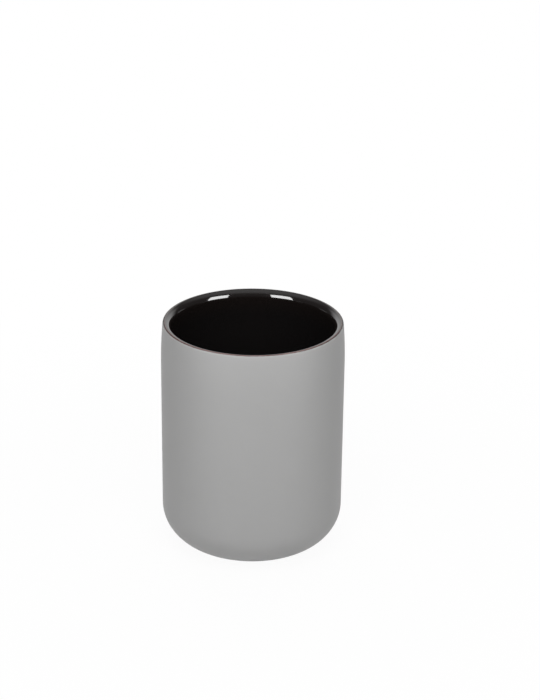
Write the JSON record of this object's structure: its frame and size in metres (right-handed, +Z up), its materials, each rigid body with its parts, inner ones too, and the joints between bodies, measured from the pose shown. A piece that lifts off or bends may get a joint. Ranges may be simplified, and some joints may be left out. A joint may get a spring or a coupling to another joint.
{
  "type": "toothbrush holder",
  "caption": "Free-standing round ceramic tumbler with a matt rubbery outside, a rounded base corner and a black gloss inside and lip.",
  "frame": {"origin": "centre of the base on the surface that the cup stands on, on the cup's axis", "axes": "+Z up along the cup's axis, out of its mouth; the cup is round, so X and Y are free, and the first pad lies on +X"},
  "size_m": [0.08, 0.08, 0.1035],
  "materials": {
    "stoneware": "unglazed fired stoneware, bare on the foot ring and in the recess",
    "soft_touch": "matt grey soft-touch coat with a very fine grain",
    "black_glaze": "black gloss glaze",
    "pad": "milky clear elastomer, matt"
  },
  "bodies": {
    "root": {"ceramic_body": "stoneware", "soft_touch_coat": "soft_touch", "inner_glaze": "black_glaze", "foot_pads": "pad"}
  },
  "joints": []
}
